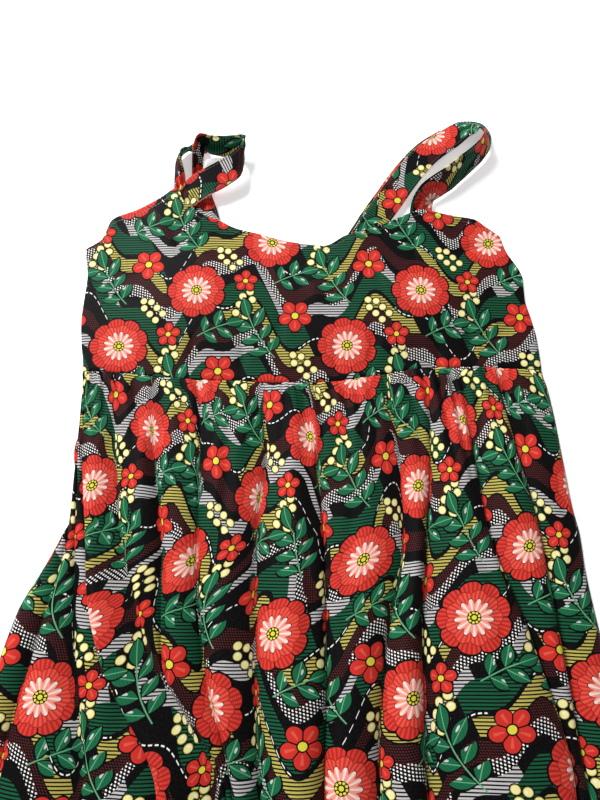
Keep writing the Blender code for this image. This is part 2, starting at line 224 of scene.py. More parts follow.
# Heights of the folds between those valleys, from the left side seam on.
# A lean moves a crest to the left by so many times its height. The last two columns are
# the roundness of each flank: a low number is a steep side under a full edge.
RIDGES = table(
    Ridge,
    (0.0004, 0.0006, 0.0008, 0.003, 0.004, 0.008, 0.01, 0.2, 0.7, 0.8),
    (0.0004, 0.0006, 0.0012, 0.004, 0.005, 0.008, 0.011, 0.6, 0.8, 0.7),
    (0.0004, 0.0008, 0.0018, 0.0036, 0.005, 0.008, 0.011, 0.2, 0.8, 1.1),
    (0.001, 0.0028, 0.0046, 0.0084, 0.009, 0.0096, 0.012, 1.1, 0.5, 1.5),
    (0.001, 0.003, 0.004, 0.002, 0.0012, 0.001, 0.0012, 0.0, 1.0, 1.0),
    (0.0012, 0.0036, 0.0046, 0.0062, 0.0014, 0.0012, 0.0016, 0.3, 0.9, 0.6),
    (0.0012, 0.004, 0.0054, 0.0066, 0.006, 0.006, 0.011, 0.5, 0.9, 0.5),
    (0.001, 0.0034, 0.0056, 0.0072, 0.008, 0.01, 0.012, -0.3, 1.0, 0.7),
    (0.0012, 0.0036, 0.005, 0.006, 0.007, 0.009, 0.011, 0.2, 0.8, 0.6),
    (0.001, 0.0026, 0.004, 0.0052, 0.0064, 0.009, 0.011, -0.3, 1.0, 0.7),
    (0.001, 0.003, 0.0052, 0.008, 0.0094, 0.011, 0.013, -1.1, 1.1, 0.5),
    (0.0014, 0.0044, 0.0058, 0.0054, 0.004, 0.009, 0.011, -0.5, 1.3, 0.6),
    (0.0006, 0.002, 0.0026, 0.003, 0.004, 0.008, 0.01, -0.3, 0.9, 0.7),
)

# Fullness of the bodice over the bust, and the cloth lifted by the strap ends
FULLNESS = table(
    Mound,
    (-0.085, 0.075, 0.052, 0.0062),
    (0.085, 0.072, 0.052, 0.0062),
    (0.0, 0.07, 0.05, 0.0022),
)
STRAP_LIFT = table(
    Mound,
    (-0.107, 0.161, 0.027, 0.0066),
    (-0.08, 0.142, 0.018, 0.002),
    (0.049, 0.127, 0.028, 0.004),
    (0.098, 0.15, 0.024, 0.0034),
)

# Bust darts, from the side seam towards the bust
DARTS = table(
    Dart,
    (0.179, 0.084, 0.14, 0.1, 0.001, 0.005),
    (-0.18, 0.084, -0.142, 0.1, 0.001, 0.005),
)

# Creases pressed into the bodice front; a depth below zero is a ridge
BODICE_CREASES = table(
    Crease,
    (-0.175, 0.108, -0.128, 0.082, 0.004, 0.0009, 0.0045),
    (-0.17, 0.07, -0.118, 0.064, -0.003, 0.0007, 0.005),
    (-0.15, 0.04, -0.132, 0.012, 0.002, 0.0006, 0.004),
    (-0.118, 0.142, -0.104, 0.104, -0.004, 0.001, 0.0045),
    (-0.094, 0.128, -0.06, 0.104, 0.004, 0.0008, 0.0045),
    (-0.09, 0.04, -0.085, 0.006, 0.002, 0.0008, 0.004),
    (-0.056, 0.052, -0.05, 0.004, -0.003, 0.0009, 0.004),
    (-0.044, 0.118, -0.02, 0.088, 0.003, 0.0007, 0.0045),
    (-0.018, 0.066, -0.022, 0.01, 0.002, 0.0006, 0.0045),
    (0.004, 0.108, 0.012, 0.06, 0.003, -0.0007, 0.005),
    (0.022, 0.036, 0.026, 0.004, 0.001, 0.0008, 0.0035),
    (0.038, 0.112, 0.064, 0.076, -0.004, 0.001, 0.0045),
    (0.058, 0.046, 0.05, 0.008, 0.002, 0.0008, 0.004),
    (0.094, 0.132, 0.09, 0.098, 0.003, 0.0009, 0.0045),
    (0.1, 0.042, 0.104, 0.012, -0.002, 0.0008, 0.004),
    (0.136, 0.06, 0.128, 0.014, 0.003, 0.0009, 0.0045),
    (0.16, 0.118, 0.118, 0.108, 0.003, 0.0009, 0.0045),
    (0.176, 0.05, 0.14, 0.038, -0.003, 0.0008, 0.0045),
)

# Creases pressed into the skirt front
SKIRT_CREASES = table(
    Crease,
    (-0.16, -0.02, -0.158, -0.11, 0.004, 0.0012, 0.004),
    (-0.136, 0.0, -0.128, -0.075, -0.003, 0.0014, 0.004),
    (-0.106, -0.004, -0.098, -0.15, 0.004, 0.0014, 0.0045),
    (-0.066, -0.006, -0.056, -0.12, -0.004, 0.0016, 0.0045),
    (-0.052, -0.06, -0.06, -0.23, 0.006, 0.0014, 0.0055),
    (-0.014, -0.004, -0.016, -0.095, 0.003, 0.0014, 0.004),
    (-0.006, -0.09, -0.012, -0.27, -0.006, 0.0016, 0.006),
    (0.03, -0.002, 0.034, -0.09, 0.003, 0.0014, 0.0045),
    (0.038, -0.07, 0.03, -0.25, 0.005, 0.0016, 0.006),
    (0.08, 0.004, 0.082, -0.08, -0.003, 0.0014, 0.004),
    (0.104, 0.004, 0.108, -0.06, 0.002, 0.0012, 0.0035),
    (0.128, 0.006, 0.142, -0.13, 0.004, 0.0016, 0.0045),
    (0.104, -0.08, 0.112, -0.26, -0.006, 0.0018, 0.006),
    (0.164, 0.0, 0.172, -0.08, 0.003, 0.0012, 0.004),
    (0.182, -0.06, 0.188, -0.22, -0.003, 0.0012, 0.0045),
    (-0.12, -0.18, -0.096, -0.42, 0.01, 0.0018, 0.007),
    (-0.176, -0.3, -0.19, -0.56, -0.008, 0.0018, 0.008),
    (-0.06, -0.3, -0.07, -0.64, 0.01, 0.0016, 0.008),
    (0.018, -0.33, 0.012, -0.7, -0.01, 0.0018, 0.008),
    (0.06, -0.26, 0.088, -0.6, 0.008, 0.0018, 0.008),
    (0.13, -0.34, 0.14, -0.72, -0.008, 0.0018, 0.008),
    (0.196, -0.28, 0.222, -0.66, 0.01, 0.0018, 0.008),
    (-0.23, -0.62, -0.25, -0.96, 0.008, 0.0016, 0.009),
    (-0.13, -0.6, -0.14, -0.98, -0.008, 0.0018, 0.009),
    (-0.02, -0.7, -0.024, -1.0, 0.006, 0.0018, 0.009),
    (0.07, -0.72, 0.08, -1.0, 0.006, 0.0018, 0.009),
    (0.18, -0.7, 0.2, -0.99, -0.008, 0.0018, 0.009),
    (-0.25, -0.78, -0.17, -0.86, 0.01, 0.001, 0.007),
    (0.11, -0.52, 0.19, -0.56, -0.01, 0.001, 0.007),
)

# Straps as bands: centre, heading of the width in the plane, its rise out of
# the plane (both in degrees) and the share of the width that is not crushed
LEFT_STRAP = table(
    Band,
    (-0.11, 0.1535, 0.0038, 121, 0, 0.8),
    (-0.104, 0.1585, 0.0044, 121, 2, 0.86),
    (-0.0985, 0.165, 0.007, 121, 5, 0.94),
    (-0.0907, 0.1714, 0.0098, 121, 8, 1.0),
    (-0.0759, 0.1787, 0.0125, 120, 10, 1.0),
    (-0.0664, 0.185, 0.0132, 117, 8, 1.0),
    (-0.0594, 0.191, 0.0128, 107, 8, 1.0),
    (-0.0546, 0.1996, 0.012, 93, 19, 1.0),
    (-0.053, 0.2082, 0.0106, 83, 36, 0.96),
    (-0.0585, 0.2122, 0.0094, 79, 52, 0.86),
    (-0.0705, 0.2126, 0.0088, 79, 58, 0.78),
    (-0.081, 0.2134, 0.0094, 83, 60, 0.72),
    (-0.0886, 0.2138, 0.0128, 120, 56, 0.68),
    (-0.0926, 0.2055, 0.0104, 168, 56, 0.6),
    (-0.0935, 0.1945, 0.0079, 177, 52, 0.55),
    (-0.0925, 0.1858, 0.0051, 183, 26, 0.52),
    (-0.0903, 0.1749, 0.0032, 190, 6, 0.62),
    (-0.088, 0.1632, 0.0023, 197, 0, 0.74),
    (-0.0848, 0.1526, 0.0022, 198, 0, 0.8),
    (-0.0812, 0.14, 0.0022, 198, 0, 0.8),
    (-0.079, 0.133, 0.0022, 198, 0, 0.8),
)
LEFT_STRAP_TAIL = table(
    Band,
    (-0.113, 0.148, 0.0022, 5, 0, 0.44),
    (-0.112, 0.16, 0.0022, 2, 0, 0.44),
    (-0.1095, 0.17, 0.0022, -4, 0, 0.44),
    (-0.1086, 0.178, 0.0036, -2, 12, 0.46),
    (-0.1088, 0.186, 0.0074, 2, 50, 0.64),
    (-0.1095, 0.1945, 0.0094, 0, 67, 0.76),
    (-0.1088, 0.2025, 0.0094, -22, 66, 0.76),
    (-0.1043, 0.2085, 0.009, -52, 58, 0.74),
    (-0.0981, 0.2125, 0.0062, -72, 30, 0.66),
    (-0.0927, 0.2155, 0.0038, -80, 6, 0.56),
    (-0.0868, 0.2165, 0.0034, -84, 0, 0.52),
)
RIGHT_STRAP = table(
    Band,
    (0.0962, 0.13, 0.0022, 180, 0, 0.8),
    (0.0969, 0.14, 0.0022, 180, 0, 0.8),
    (0.0974, 0.151, 0.0022, 180, 0, 0.8),
    (0.0983, 0.1582, 0.0052, 176, 14, 0.8),
    (0.102, 0.165, 0.0086, 158, 44, 0.85),
    (0.1116, 0.1718, 0.0104, 138, 56, 0.93),
    (0.1222, 0.179, 0.011, 132, 60, 0.97),
    (0.1318, 0.188, 0.0112, 132, 61, 0.97),
    (0.142, 0.1975, 0.0115, 134, 64, 0.96),
    (0.1515, 0.2082, 0.0115, 143, 65, 0.95),
    (0.1572, 0.219, 0.011, 164, 62, 0.93),
    (0.1578, 0.227, 0.0094, 204, 52, 0.92),
    (0.1528, 0.235, 0.008, 250, 36, 0.95),
    (0.1415, 0.2336, 0.0072, 284, 20, 0.99),
    (0.1262, 0.2235, 0.0062, 302, 9, 1.0),
    (0.1093, 0.2112, 0.0056, 311, 4, 1.0),
    (0.0987, 0.2005, 0.0054, 320, 3, 1.0),
    (0.0839, 0.181, 0.005, 326, 2, 1.0),
    (0.0711, 0.1618, 0.0044, 328, 0, 1.0),
    (0.0582, 0.1427, 0.004, 328, 0, 0.98),
    (0.0519, 0.1331, 0.0039, 328, 0, 0.92),
    (0.0455, 0.1225, 0.0039, 328, 0, 0.9),
)
TAIL_SIDE_STEP = 0.0022
TAIL_FIRST_BAND = 14
TAIL_DROP = 0.0016
STRAP_THICKNESS = 0.0012
STRAP_CLOTH = 0.0003
STRAP_STITCH_PLACES = ((-0.82, 1.0), (0.82, 1.0), (-0.82, -1.0), (0.82, -1.0))
STRAP_PADDING = 0.0002
LOWEST_STRAP = 0.0012
CRUSH_WAVES = 2.2
CRUSH_RATE = 70.0
CRUSH_SHARE = 0.62

# Stitches, the hem's turn-up, and the neckline's stitches as a share of the bodice's height
STITCH_LENGTH = 0.0021
STITCH_WIDTH = 0.00035
STITCH_PITCH = 0.003
HEM_DEPTH = 0.018
HEM_STEP = 0.0003
NECK_STITCH_UP = 0.966

# Corners of a square, and the faces of the box between two squares
SQUARE = ((-1, -1), (1, -1), (1, 1), (-1, 1))
BOX_FACES = ((0, 1, 2, 3), (7, 6, 5, 4), (0, 4, 5, 1), (1, 5, 6, 2), (2, 6, 7, 3), (3, 7, 4, 0))

# Repeat of the print: width of a column, its length, and the drop of the next one
COLUMN = 0.06
REPEAT = 0.138
DROP = 0.046
HATCH_PITCH = 0.0022
DOT_PITCH = 0.0021
SPECK_PITCH = 0.0016
DASH_PITCH = 0.0036
PETALS = 9
HEART_PETALS = 13
STAMENS = 9

# Wavy bands of the ground: their pitch, the waves that bend them, as a length and a
# height in pitches, and the slanted wave that breaks them
BAND_PITCH = 0.066
BAND_WAVES = ((0.12, 0.32), (0.046, 0.12))
BREAK_WAVE = 0.092
BREAK_SLANT = 31.0

# Motifs: their place in the repeat and their turn in radians, and their sizes
Berries = namedtuple("Berries", "u v turn rows pitch radius")
Spray = namedtuple("Spray", "u v turn pairs pitch half_length half_width")
Bloom = namedtuple("Bloom", "u v turn radius")
BERRIES = table(
    Berries,
    (-0.023, 0.075, -0.35, 4, 0.0076, 0.003),
    (0.026, 0.029, 0.75, 3, 0.0072, 0.0028),
)
SPRAYS = table(
    Spray,
    (-0.009, 0.052, 0.55, 3, 0.0118, 0.0082, 0.0042),
    (0.013, 0.105, -1.15, 2, 0.0108, 0.0072, 0.0037),
)
BLOSSOMS = table(
    Bloom,
    (0.019, 0.071, 0.3, 0.0132),
    (-0.021, 0.101, 0.9, 0.0096),
)
FLOWER = Bloom(0.0, 0.0, 0.0, 0.023)

# Colours of the print, the thread and the room
BLACK = (0.0016, 0.0013, 0.0016, 1.0)
RED = (0.52, 0.026, 0.018, 1.0)
DEEP_RED = (0.3, 0.014, 0.011, 1.0)
CORAL = (0.62, 0.078, 0.05, 1.0)
GREEN = (0.009, 0.12, 0.05, 1.0)
DEEP_GREEN = (0.006, 0.082, 0.036, 1.0)
PALE_GREEN = (0.1, 0.33, 0.165, 1.0)
CREAM = (0.74, 0.69, 0.31, 1.0)
OLIVE = (0.43, 0.37, 0.085, 1.0)
MAROON = (0.078, 0.014, 0.014, 1.0)
GREY = (0.46, 0.445, 0.445, 1.0)
WHITE = (0.82, 0.8, 0.78, 1.0)
PINK = (0.74, 0.27, 0.2, 1.0)
YELLOW = (0.62, 0.56, 0.05, 1.0)
WORN_GREY = (0.11, 0.1, 0.098, 1.0)
THREAD_COLOUR = (0.02, 0.018, 0.02, 1.0)
FLOOR_COLOUR = (0.93, 0.93, 0.93, 1.0)
HORIZON = (0.8, 0.8, 0.8, 1.0)
ZENITH = (0.1, 0.1, 0.1, 1.0)

# Bands of the ground, as shares of their pitch and of the wave that breaks them
Stripe = namedtuple("Stripe", "low high from_break to_break texture colour")
GROUND = table(
    Stripe,
    (0.54, 0.74, -2.0, 2.0, "specks", MAROON),
    (-1.0, 0.28, -0.55, 2.0, "lines", DEEP_GREEN),
    (0.28, 0.43, -2.0, 0.45, "lines", GREY),
    (0.76, 0.94, -0.35, 2.0, "lines", OLIVE),
    (0.43, 0.58, -0.5, 2.0, "dots", WHITE),
    (0.963, 0.977, -2.0, 0.3, "dashes", WHITE),
)

# Cloth seen close: the share of wear on each side, its least value and the roughness
Look = namedtuple("Look", "wear least_wear roughness")
LOOKS = {"print": Look(0.22, -0.1, 0.6), "reverse": Look(0.5, 0.26, 0.75)}
WEAR_SCALE = 900.0
CRINKLE_SCALE = 160.0
TWIST_SCALE = 2500.0
THREAD_RATE = math.tau / 0.00042
WEAVE_SHARE = 0.1
RELIEF = 0.0004

# The room: its floor, just under the dress, and its lights
FLOOR_REACH = 9.0
FLOOR_DROP = -0.0004
FLOOR_GLOW = 0.45
Light = namedtuple("Light", "name place aim size power")
LIGHTS = table(
    Light,
    ("key", (-1.0, 1.45, 1.15), (0.05, 0.1, 0.0), 0.7, 60.0),
    ("fill", (0.7, 0.3, 2.2), (0.0, 0.1, 0.0), 1.2, 6.0),
)

# Camera above the bodice, from the middle of the waist seam, tilted towards the straps
CAMERA_PLACE = (-0.005, -0.15, 0.4427)
CAMERA_TILT = math.radians(17.0)
CAMERA_LENS = 27.0


def blend(low, high, share):
    """Straight mix of two numbers."""
    return low + (high - low) * share


def ease(share):
    """Smooth step from 0 to 1."""
    share = np.clip(share, 0.0, 1.0)
    return share * share * (3.0 - 2.0 * share)


def curve(keys, values, at):
    """Smooth curve through rising keys, with no overshoot, at many places."""
    keys = np.asarray(keys, float)
    values = np.asarray(values, float)
    steps = np.diff(values) / np.diff(keys)
    product = steps[:-1] * steps[1:]
    total = np.where(product > 0.0, steps[:-1] + steps[1:], 1.0)
    slopes = np.zeros(len(keys))
    slopes[1:-1] = np.where(product > 0.0, 2.0 * product / total, 0.0)
    at = np.clip(at, keys[0], keys[-1])
    span = np.clip(np.searchsorted(keys, at, side="left") - 1, 0, len(keys) - 2)
    width = keys[span + 1] - keys[span]
    u = (at - keys[span]) / width
    rise = values[span + 1] - values[span]
    first = slopes[span] * width
    second = slopes[span + 1] * width
    bend = -2.0 * rise + first + second
    lift = 3.0 * rise - 2.0 * first - second
    return ((bend * u + lift) * u + first) * u + values[span]


def along_path(places, share):
    """Places at shares of the way along an open line of points."""
    steps = [0.0]
    for one, two in zip(places, places[1:]):
        steps.append(steps[-1] + math.hypot(two.x - one.x, two.y - one.y))
    at = share * steps[-1]
    return curve(steps, [p.x for p in places], at), curve(steps, [p.y for p in places], at)


def through(pairs, at):
    """Smooth curve through pairs of a key and a value."""
    return curve(*zip(*pairs), at)


def waist_y(x):
    """Height of the waist seam."""
    return through(WAIST, x)


def mound_height(mounds, x, y):
    """Sum of round soft mounds."""
    total = 0.0
    for mound in mounds:
        far = np.hypot(x - mound.x, y - mound.y) / mound.reach
        total = total + mound.height * np.exp(-far * far)
    return total


def beside_line(line, x, y):
    """Share of the way along a line, and the distance to its side."""
    run_x = line.to_x - line.from_x
    run_y = line.to_y - line.from_y
    length = math.hypot(run_x, run_y)
    share = ((x - line.from_x) * run_x + (y - line.from_y) * run_y) / length ** 2
    off = ((x - line.from_x) * run_y - (y - line.from_y) * run_x) / length
    return share, off


def dart_depth(x, y):
    """Depth of the groove along the bust darts."""
    total = 0.0
    for dart in DARTS:
        share, off = beside_line(dart, x, y)
        inside = ease(1.0 - np.abs(off) / dart.half_width)
        total = total + dart.depth * inside * ease((1.0 - share) * 3.0) * ease(share * 6.0 + 0.4)
    return total


def crease_depth(creases, x, y):
    """Depth of soft troughs that fade out at both ends."""
    total = 0.0
    for crease in creases:
        share, off = beside_line(crease, x, y)
        off = (off - crease.bend * np.sin(math.pi * np.clip(share, 0.0, 1.0))) / crease.width
        fade = ease(share * 4.0) * ease((1.0 - share) * 2.5)
        total = total + crease.depth * fade * np.exp(-off * off)
    return total


def bodice_outline(across, up, top_drop):
    """Places in the plane on a bodice panel, fitted to its four edges."""
    bottom_x = blend(WAIST[0].x, WAIST[-1].x, across)
    bottom_y = waist_y(bottom_x) + SEAM_GAP / 2
    top_x, top_y = along_path(TOP_EDGE, across)
    shifts = []
    for corner, levels in ((0, BODICE_LEFT), (-1, BODICE_RIGHT)):
        y = blend(WAIST[corner].y + SEAM_GAP / 2, TOP_EDGE[corner].y - top_drop, up)
        shifts.append(through(levels, y) - blend(WAIST[corner].x, TOP_EDGE[corner].x, up))
    x = blend(bottom_x, top_x, up) + blend(shifts[0], shifts[1], across)
    y = blend(bottom_y, top_y - top_drop, up)
    return x, y


def near_edge(share, reach):
    """1 at a side of a cloth and 0 further in than the reach."""
    return ease(1.0 - np.minimum(share, 1.0 - share) / reach)


def bodice_front_surface(across, up):
    """Middle of the bodice front's cloth."""
    x, y = bodice_outline(across, up, 0.0)
    from_side = 1.0 - np.abs(2.0 * across - 1.0) ** 8
    height = mound_height(FULLNESS, x, y) * from_side * ease(up * 5.0)
    height = height + mound_height(STRAP_LIFT, x, y) * from_side
    height = height - dart_depth(x, y) * ease(height / 0.002)
    height = np.maximum(height, 0.0) - BODICE_CREASE_SWELL * crease_depth(BODICE_CREASES, x, y)
    turned = near_edge(across, BODICE_EDGE) + ease(1.0 - up / BODICE_SEAM_EDGE)
    turned = turned + NECK_SINK_SHARE * ease(1.0 - (1.0 - up) / NECK_EDGE)
    z = FRONT_MID + height - EDGE_SINK * np.clip(turned, 0.0, 1.0)
    return x, y, np.maximum(z, LOWEST_FRONT)


def bodice_back_surface(across, up):
    """Middle of the bodice back's cloth, flat on the surface."""
    x, y = bodice_outline(across, up, BACK_TOP_DROP)
    ridges = np.minimum(crease_depth(BODICE_CREASES, -x, y), 0.0)
    return x, y, BACK_MID - BACK_RIDGE_SHARE * ridges


def skirt_sides(below):
    """Left and right X of the skirt at a distance below the waist seam."""
    keys, left, right = zip(*SKIRT_SIDES)
    return curve(keys, left, below), curve(keys, right, below)


def skirt_y(across, below):
    """Y of the skirt between the waist seam and the curved hem."""
    top = waist_y(blend(WAIST[0].x, WAIST[-1].x, across)) - SEAM_GAP / 2
    hem = HEM_RISE_AT_SIDES * (2.0 * across - 1.0) ** 2 - SKIRT_LENGTH
    return blend(top, hem, below / SKIRT_LENGTH)


def uneven_waves(count, shifts, across):
    """Phase of uneven waves across the cloth."""
    shifted = sum(size * np.sin(rate * across) for size, rate in shifts)
    return math.tau * (count * across + shifted)


def gather_height(across, below):
    """Height of the small gathers held by the waist seam."""
    wave = 0.5 - 0.5 * np.cos(uneven_waves(GATHER_COUNT, GATHER_SHIFTS, across))
    spread = 0.5 + 0.5 * np.sin(41.0 * across + 1.3)
    fade = blend(GATHER_FADE_SHORT, GATHER_FADE_LONG, spread)
    size = 0.75 + 0.25 * np.sin(17.0 * across)
    near_side = 1.0 - np.abs(2.0 * across - 1.0) ** 12
    grow = blend(0.55, 1.0, ease(below / 0.012))
    return GATHER_HEIGHT * size * wave * near_side * grow * np.exp(-(below / fade) ** 2)


def pucker_height(across, below):
    """Fine puckers right under the waist seam."""
    wave = np.sin(uneven_waves(PUCKER_COUNT, PUCKER_SHIFTS, across))
    size = 0.6 + 0.4 * np.sin(29.0 * across + 0.7)
    fade = PUCKER_FADE * (1.0 + 0.5 * np.sin(19.0 * across))
    return PUCKER_HEIGHT * size * wave * np.exp(-(below / fade) ** 2)


def fold_columns():
    """The fold of each column of the skirt front, and its share of the way over that fold."""
    folds, shares = [], []
    for fold, count in enumerate(FOLD_COLUMNS):
        last = count + 1 if fold == len(FOLD_COLUMNS) - 1 else count
        share = np.arange(last) / count
        folds += [fold] * last
        shares.append(blend(share, 0.5 - 0.5 * np.cos(math.pi * share), CROWDED_SHARE))
    return np.array(folds), np.concatenate(shares)[None, :]


def skirt_front_surface(_, down):
    """Middle of the skirt front's cloth, with its folds, gathers and creases."""
    below = SKIRT_LENGTH * down ** ROW_CROWDING
    left, right = skirt_sides(below)
    inner = [curve(FOLD_LEVELS, fold, below) for fold in VALLEYS]
    valleys = np.concatenate([left, *inner, right], axis=1)
    heights = [ridge[:len(FOLD_LEVELS)] for ridge in RIDGES]
    crests = np.concatenate([curve(FOLD_LEVELS, row, below) for row in heights], axis=1)
    place, share = fold_columns()
    low = valleys[:, place]
    width = valleys[:, place + 1] - low
    x = low + width * share
    across = (x - left) / (right - left)
    crest = np.minimum(crests[:, place], STEEPEST_FOLD * width)
    lean, left_round, right_round = np.array(RIDGES)[place, -3:].T
    roundness = np.where(share > 0.5, right_round, left_round)
    fold = FOLD_SWELL * crest * np.clip(np.sin(math.pi * share), 0.0, 1.0) ** roundness
    lean = lean * ease(crest / FULL_LEAN_HEIGHT) * LEAN_SWELL
    y = skirt_y(across, below)
    height = fold + gather_height(across, below) + pucker_height(across, below)
    height = height - crease_depth(SKIRT_CREASES, x, y)
    height = height + HEM_STEP * ease((below - SKIRT_LENGTH + HEM_DEPTH) / HEM_STEP_RUN)
    sunk = near_edge(across, SKIRT_EDGE) + ease(1.0 - below / SKIRT_SEAM_ROLL)
    z = FRONT_MID + height - EDGE_SINK * np.clip(sunk, 0.0, 1.0)
    return x - lean * fold, y, np.maximum(z, LOWEST_FRONT)


def skirt_back_surface(across, down):
    """Middle of the skirt back's cloth, flat on the surface."""
    below = SKIRT_LENGTH * down ** ROW_CROWDING
    left, right = skirt_sides(below)
    x = blend(left, right, across)
    gathers = gather_height(1.0 - across, below) / GATHER_HEIGHT
    return x, skirt_y(across, below), BACK_MID + BACK_GATHER_HEIGHT * gathers


def stacked(*parts):
    """Grids of coordinates as one grid of places."""
    return np.stack(np.broadcast_arrays(*parts), axis=-1)


def run_along(points):
    """Length of the way to each point of a line."""
    return np.concatenate([[0.0], np.cumsum(np.linalg.norm(np.diff(points, axis=0), axis=1))])


def grid(cells):
    """Shares across and along a cloth, as a row and a column of numbers."""
    columns, rows = cells
    return np.linspace(0.0, 1.0, columns + 1)[None, :], np.linspace(0.0, 1.0, rows + 1)[:, None]


def normals_of(points, closed):
    """Unit normals of a grid of points."""
    if closed:
        around = np.roll(points, -1, axis=1) - np.roll(points, 1, axis=1)
    else:
        around = np.gradient(points, axis=1)
    normal = np.cross(around, np.gradient(points, axis=0))
    return normal / np.maximum(np.linalg.norm(normal, axis=2, keepdims=True), 1e-12)


def shell(name, points, cloth_place, thickness, materials, closed=False, flip=False):
    """Thin closed wall about a grid of points.

    cloth_place holds each point's place in the flat cut cloth, in metres.
    A closed grid joins its last column to its first.
    """
    rows, columns = points.shape[:2]
    normal = normals_of(points, closed)
    if flip:
        normal = -normal
    step = normal * thickness / 2
    corners = np.concatenate([points + step, points - step]).reshape(-1, 3)
    count = rows * columns
    index = np.arange(count).reshape(rows, columns)
    next_index = np.roll(index, -1, axis=1)
    last = columns if closed else columns - 1
    a, b = index[:-1, :last], next_index[:-1, :last]
    c, d = next_index[1:, :last], index[1:, :last]
    outer = stacked(a, b, c, d).reshape(-1, 4)
    inner = outer[:, ::-1] + count
    first = stacked(index[0, :last], next_index[0, :last])
    final = stacked(index[-1, :last], next_index[-1, :last])[:, ::-1]
    rims = [first, final]
    if not closed:
        rims.append(stacked(index[1:, 0], index[:-1, 0]))
        rims.append(stacked(index[:-1, -1], index[1:, -1]))
    rim = np.concatenate(rims)
    rim = np.concatenate([rim[:, ::-1], rim + count], axis=1)
    faces = np.concatenate([outer, inner, rim])
    if flip:
        faces = faces[:, ::-1]
    mesh = new_mesh(name, corners.tolist(), faces.tolist(), materials)
    wrong_side = np.zeros(len(faces), int)
    wrong_side[len(outer):len(outer) + len(inner)] = len(materials) - 1
    mesh.polygons.foreach_set("material_index", wrong_side)
    places = np.concatenate([cloth_place.reshape(-1, 2)] * 2)
    layer = mesh.uv_layers.new(name="cloth")
    loops = np.empty(len(mesh.loops), int)
    mesh.loops.foreach_get("vertex_index", loops)
    layer.data.foreach_set("uv", places[loops].ravel())
    mesh.shade_smooth()
    mesh.update()
    return add_piece(name, mesh)


def new_mesh(name, corners, faces, materials):
    """Mesh with its materials."""
    mesh = bpy.data.meshes.new(name)
    mesh.from_pydata(corners, [], faces)
    for material in materials:
        mesh.materials.append(material)
    return mesh


def add_thing(name, data, place=(0.0, 0.0, 0.0)):
    """New object in the scene."""
    thing = bpy.data.objects.new(name, data)
    thing.location = place
    bpy.context.scene.collection.objects.link(thing)
    return thing


def add_piece(name, mesh):
    """Put a mesh made in the garment's own frame where the solids lie."""
    piece = add_thing(name, mesh, GARMENT_PLACE)
    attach(piece, "root")
    return piece


def garment_place():
    """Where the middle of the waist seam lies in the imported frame."""
    low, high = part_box("skirt_back")
    return Vector(((low[0] + high[0]) / 2, low[1] + SKIRT_LENGTH, 0.0))


def feed(tree, value, socket):
    """Link an input to a field or a socket, or set its value."""
    if isinstance(value, Field):
        value = value.socket
    if isinstance(value, bpy.types.NodeSocket):
        tree.links.new(value, socket)
    else:
        socket.default_value = value


def feed_all(tree, node, inputs):
    """Feed a node's inputs by name or number."""
    for key, value in inputs.items():
        feed(tree, value, node.inputs[key])
    return node


def add_node(tree, kind, inputs):
    """New node, with its inputs fed."""
    return feed_all(tree, tree.nodes.new("ShaderNode" + kind), inputs)


class Field:
    """A number that varies over the cloth, as the output of a node."""

    def __init__(self, tree, socket):
        self.tree = tree
        self.socket = socket

    def math(self, operation, *others):
        node = add_node(self.tree, "Math", dict(enumerate((self, *others))))
        node.operation = operation
        return Field(self.tree, node.outputs[0])

    def within(self, low, high):
        return self.math("MAXIMUM", low).math("MINIMUM", high)


FIELD_METHODS = {
    "__add__": "ADD",
    "__sub__": "SUBTRACT",
    "__mul__": "MULTIPLY",
    "__truediv__": "DIVIDE",
    "__lt__": "LESS_THAN",
    "__gt__": "GREATER_THAN",
    "__or__": "MAXIMUM",
    "__and__": "MULTIPLY",
    "__abs__": "ABSOLUTE",
    "times_plus": "MULTIPLY_ADD",
    "sine": "SINE",
    "fraction": "FRACT",
    "nearest": "ROUND",
}
for method, operation in FIELD_METHODS.items():
    setattr(Field, method, partialmethod(Field.math, operation))


def length_of(x, y):
    """Distance of a place from the middle."""
    return (x * x + y * y).math("SQRT")


def parts_of(tree, vector):
    """X, Y and Z of a vector."""
    return [Field(tree, part) for part in add_node(tree, "SeparateXYZ", {0: vector}).outputs]


def noise(tree, place, scale, detail):
    """Soft noise about a half."""
    node = add_node(tree, "TexNoise", {"Vector": place, "Scale": scale, "Detail": detail})
    return Field(tree, node.outputs[0])


class Paint:
    """Colours laid over each other on the cloth."""

    def __init__(self, tree, ground):
        self.tree = tree
        self.colour = ground

    def over(self, mask, colour, share=1.0):
        node = self.tree.nodes.new("ShaderNodeMix")
        node.data_type = "RGBA"
        feed(self.tree, mask * share if share < 1.0 else mask, node.inputs["Factor"])
        first, second = (s for s in node.inputs if s.type == "RGBA")
        feed(self.tree, self.colour, first)
        feed(self.tree, colour, second)
        self.colour = next(s for s in node.outputs if s.type == "RGBA")


def repeated(u, v, motif):
    """Place in a motif that repeats in dropped columns, and the number of the column."""
    shifted = u - motif.u
    column = (shifted / COLUMN).nearest()
    x = column.times_plus(-COLUMN, shifted)
    y = column.times_plus(-DROP, v - motif.v)
    y = (y / REPEAT).nearest().times_plus(-REPEAT, y)
    if motif.turn:
        turned_x = x.times_plus(math.cos(motif.turn), y * math.sin(motif.turn))
        y = y.times_plus(math.cos(motif.turn), x * -math.sin(motif.turn))
        x = turned_x
    return x, y, column


def wedge_share(angle, count):
    """0 in the middle of each of some equal wedges round a point, 1 between them."""
    share = (angle * (count / math.tau)).fraction()
    return abs(share - 0.5) * 2.0


def almond(along, off, half_length, half_width):
    """Inside of a leaf with two pointed ends."""
    reach = along / half_length
    return reach.times_plus(reach, abs(off) / half_width) < 1.0


